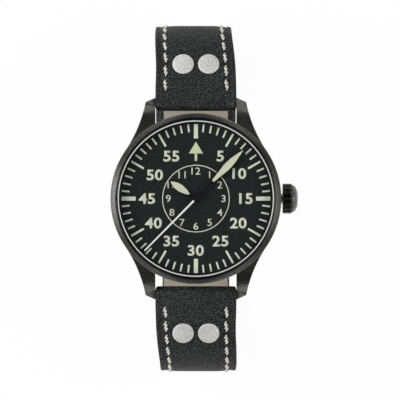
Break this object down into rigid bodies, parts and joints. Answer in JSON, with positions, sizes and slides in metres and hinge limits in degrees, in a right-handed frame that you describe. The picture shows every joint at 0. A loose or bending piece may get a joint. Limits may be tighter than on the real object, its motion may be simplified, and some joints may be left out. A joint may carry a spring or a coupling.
{
  "type": "pilot watch",
  "caption": "Round pilot watch with a black dial, leaf hands, fluted crown, four lugs and a closed, riveted leather strap with a pin buckle.",
  "frame": {"origin": "on the hands' axis, in the plane that the buckle and keepers stand on", "axes": "+Z out of the dial, +Y to 12 o'clock, +X along the crown's stem, outward"},
  "size_m": [0.046, 0.0858, 0.0461],
  "materials": {
    "case_black": "blasted dark grey coating on steel",
    "crystal": "clear sapphire",
    "seal": "pale seal",
    "dial_black": "matte black",
    "hand_black": "satin black",
    "steel": "plain steel",
    "rivet_silver": "satin silver",
    "plate_brass": "plain",
    "ruby": "polished synthetic ruby",
    "leather_black": "fine grain",
    "lining_tan": "smooth"
  },
  "bodies": {
    "head": {"mid_case": "case_black", "bezel": "case_black", "crystal": "crystal", "crystal_gasket": "seal", "flange_ring": "dial_black", "dial": "dial_black", "movement_ring": "steel", "case_back": "case_black", "back_gasket": "seal", "crown_tube": "steel", "casing_clamps": "steel", "clamp_screws": "steel", "mainplate": "plate_brass", "barrel_bridge": "plate_brass", "train_bridge": "plate_brass", "balance_cock": "plate_brass", "hairspring": "steel", "rotor_post": "steel", "bridge_screws": "steel", "jewels": "ruby", "short_leather": "leather_black", "short_lining": "lining_tan", "long_leather": "leather_black", "long_lining": "lining_tan", "strap_rivets": "rivet_silver", "fixed_keeper": "leather_black", "lug_bar_tubes": "steel", "buckle_bar_tube": "steel"},
    "seconds_arbor": {"fourth_wheel": "plate_brass", "seconds_hand": "hand_black"},
    "minute_arbor": {"centre_wheel": "plate_brass", "cannon_pinion": "steel", "minute_hand": "hand_black"},
    "third_arbor": {"third_wheel": "plate_brass"},
    "mainspring_barrel": {"barrel": "plate_brass"},
    "escape_arbor": {"escape_wheel": "plate_brass"},
    "minute_work": {"minute_wheel": "plate_brass"},
    "hour_work": {"hour_wheel": "plate_brass", "hour_hand": "hand_black"},
    "winding_work": {"winding_pinions": "steel"},
    "crown_and_stem": {"crown": "case_black", "winding_stem": "steel", "crown_gasket": "seal"},
    "crown_wheel_turning": {"crown_wheel": "steel"},
    "ratchet": {"ratchet_wheel": "steel", "barrel_arbor": "steel"},
    "click_lever": {"click": "steel"},
    "rotor_weight": {"rotor": "steel"},
    "balance": {"balance_wheel": "plate_brass"},
    "fork": {"pallet_fork": "steel"},
    "buckle": {"buckle_frame": "case_black"},
    "tongue": {"buckle_tongue": "case_black"},
    "keeper": {"free_keeper": "leather_black"},
    "top_plunger_left_pin": {"top_plunger_left": "steel"},
    "top_plunger_right_pin": {"top_plunger_right": "steel"},
    "bottom_plunger_left_pin": {"bottom_plunger_left": "steel"},
    "bottom_plunger_right_pin": {"bottom_plunger_right": "steel"},
    "buckle_plunger_left_pin": {"buckle_plunger_left": "steel"},
    "buckle_plunger_right_pin": {"buckle_plunger_right": "steel"}
  },
  "joints": [
    {"name": "seconds_turn", "type": "hinge", "parent": "head", "child": "seconds_arbor", "pos_m": [0, 0, 0.04099], "axis": [0, 0, 1], "continuous": true},
    {"name": "minutes_turn", "type": "hinge", "parent": "head", "child": "minute_arbor", "pos_m": [0, 0, 0.04099], "axis": [0, 0, 1], "continuous": true},
    {"name": "third_turn", "type": "hinge", "parent": "head", "child": "third_arbor", "pos_m": [-0.00438, 0.00038, 0.04099], "axis": [0, 0, 1], "continuous": true},
    {"name": "barrel_turn", "type": "hinge", "parent": "head", "child": "mainspring_barrel", "pos_m": [0.00273, 0.00473, 0.04099], "axis": [0, 0, 1], "continuous": true},
    {"name": "escape_turn", "type": "hinge", "parent": "head", "child": "escape_arbor", "pos_m": [0.00157, -0.00352, 0.04099], "axis": [0, 0, 1], "continuous": true},
    {"name": "minute_wheel_turn", "type": "hinge", "parent": "head", "child": "minute_work", "pos_m": [-0.00103, -0.00282, 0.04099], "axis": [0, 0, 1], "continuous": true},
    {"name": "hours_turn", "type": "hinge", "parent": "head", "child": "hour_work", "pos_m": [0, 0, 0.04099], "axis": [0, 0, 1], "continuous": true},
    {"name": "crown_turn", "type": "hinge", "parent": "head", "child": "winding_work", "pos_m": [0, 0, 0.04049], "axis": [1, 0, 0], "continuous": true},
    {"name": "crown_pull", "type": "slide", "parent": "winding_work", "child": "crown_and_stem", "axis": [1, 0, 0], "range_m": [0, 0.0015]},
    {"name": "crown_wheel_turn", "type": "hinge", "parent": "head", "child": "crown_wheel_turning", "pos_m": [0.0062, 0, 0.04099], "axis": [0, 0, 1], "continuous": true},
    {"name": "ratchet_turn", "type": "hinge", "parent": "head", "child": "ratchet", "pos_m": [0.00273, 0.00473, 0.04099], "axis": [0, 0, 1], "continuous": true},
    {"name": "click_lift", "type": "hinge", "parent": "head", "child": "click_lever", "pos_m": [-0.00112, 0.00742, 0.04099], "axis": [0, 0, 1], "range_deg": [0, 12], "stiffness_Nm_per_rad": 0.00004, "springref_deg": -5.73},
    {"name": "rotor_turn", "type": "hinge", "parent": "head", "child": "rotor_weight", "pos_m": [0, 0, 0.03699], "axis": [0, 0, 1], "continuous": true},
    {"name": "balance_turn", "type": "hinge", "parent": "head", "child": "balance", "pos_m": [-0.0022, -0.00801, 0.04099], "axis": [0, 0, 1], "range_deg": [-270, 270], "stiffness_Nm_per_rad": 0.00000035},
    {"name": "fork_turn", "type": "hinge", "parent": "head", "child": "fork", "pos_m": [-0.00014, -0.00555, 0.04099], "axis": [0, 0, 1], "range_deg": [-4, 4]},
    {"name": "buckle_turn", "type": "hinge", "parent": "head", "child": "buckle", "pos_m": [0, 0.002, 0.00505], "axis": [1, 0, 0], "range_deg": [0, 8]},
    {"name": "tongue_turn", "type": "hinge", "parent": "buckle", "child": "tongue", "pos_m": [0, 0.002, 0.00505], "axis": [1, 0, 0], "range_deg": [0, 12]},
    {"name": "keeper_slide", "type": "slide", "parent": "head", "child": "keeper", "axis": [0, 1, 0], "range_m": [-0.0025, 0.0065]},
    {"name": "top_plunger_left_press", "type": "slide", "parent": "head", "child": "top_plunger_left_pin", "axis": [1, 0, 0], "range_m": [0, 0.0009], "stiffness_N_per_m": 600, "springref_m": -0.001},
    {"name": "top_plunger_right_press", "type": "slide", "parent": "head", "child": "top_plunger_right_pin", "axis": [-1, 0, 0], "range_m": [0, 0.0009], "stiffness_N_per_m": 600, "springref_m": -0.001},
    {"name": "bottom_plunger_left_press", "type": "slide", "parent": "head", "child": "bottom_plunger_left_pin", "axis": [1, 0, 0], "range_m": [0, 0.0009], "stiffness_N_per_m": 600, "springref_m": -0.001},
    {"name": "bottom_plunger_right_press", "type": "slide", "parent": "head", "child": "bottom_plunger_right_pin", "axis": [-1, 0, 0], "range_m": [0, 0.0009], "stiffness_N_per_m": 600, "springref_m": -0.001},
    {"name": "buckle_plunger_left_press", "type": "slide", "parent": "head", "child": "buckle_plunger_left_pin", "axis": [1, 0, 0], "range_m": [0, 0.0009], "stiffness_N_per_m": 600, "springref_m": -0.001},
    {"name": "buckle_plunger_right_press", "type": "slide", "parent": "head", "child": "buckle_plunger_right_pin", "axis": [-1, 0, 0], "range_m": [0, 0.0009], "stiffness_N_per_m": 600, "springref_m": -0.001}
  ],
  "couplings": [
    {"joint": "third_turn", "follows": "seconds_turn", "ratio": -0.13333},
    {"joint": "minutes_turn", "follows": "seconds_turn", "ratio": 0.016667},
    {"joint": "barrel_turn", "follows": "seconds_turn", "ratio": -0.0027778},
    {"joint": "escape_turn", "follows": "seconds_turn", "ratio": -10},
    {"joint": "minute_wheel_turn", "follows": "seconds_turn", "ratio": -0.0055556},
    {"joint": "hours_turn", "follows": "seconds_turn", "ratio": 0.0013889},
    {"joint": "crown_wheel_turn", "follows": "crown_turn", "ratio": 0.57143},
    {"joint": "ratchet_turn", "follows": "crown_turn", "ratio": -0.38095}
  ]
}
